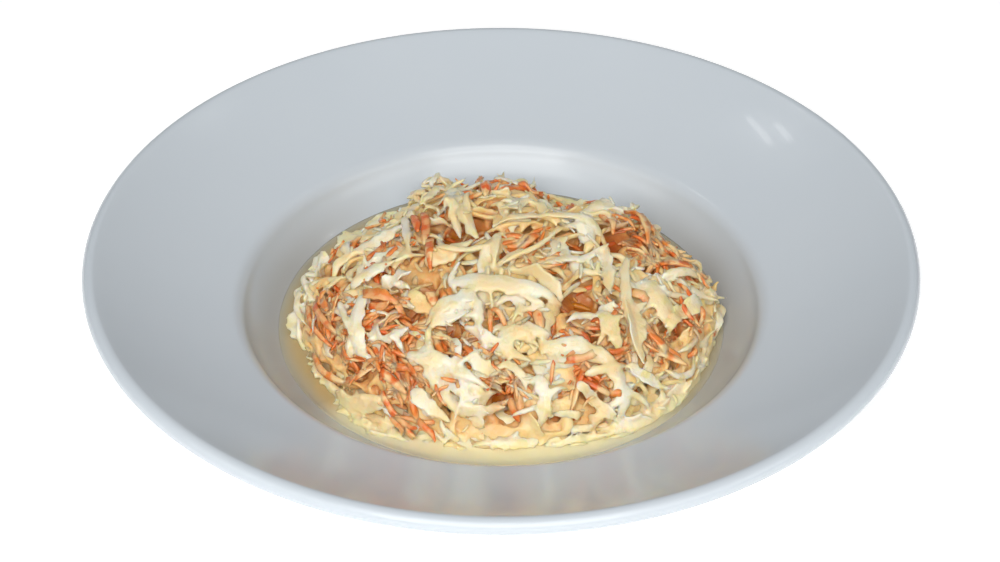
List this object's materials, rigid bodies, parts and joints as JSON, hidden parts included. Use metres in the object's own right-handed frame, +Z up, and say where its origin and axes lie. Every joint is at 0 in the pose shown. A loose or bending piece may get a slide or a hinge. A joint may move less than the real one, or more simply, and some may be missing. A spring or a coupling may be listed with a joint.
{
  "type": "bowl of coleslaw",
  "caption": "Heap of creamy shredded cabbage and grated carrot in a pool of dressing, served in a wide-rimmed white porcelain pasta bowl.",
  "frame": {"origin": "middle of the foot ring's flat underside, on the surface that the bowl stands on", "axes": "+Z up, -Y towards the viewer of the served side, +X to that viewer's right"},
  "size_m": [0.28, 0.28, 0.0569],
  "materials": {
    "porcelain": "smooth white porcelain with a clear gloss glaze, very slightly cool",
    "dressing": "creamy pale yellow dressing, smooth and wet",
    "cabbage": "thin shreds of white cabbage coated with creamy dressing, a few with a pale green edge",
    "carrot": "coarsely grated carrot, orange, dulled by creamy dressing"
  },
  "bodies": {
    "root": {"bowl": "porcelain", "dressing": "dressing", "coleslaw": "cabbage"}
  },
  "joints": []
}
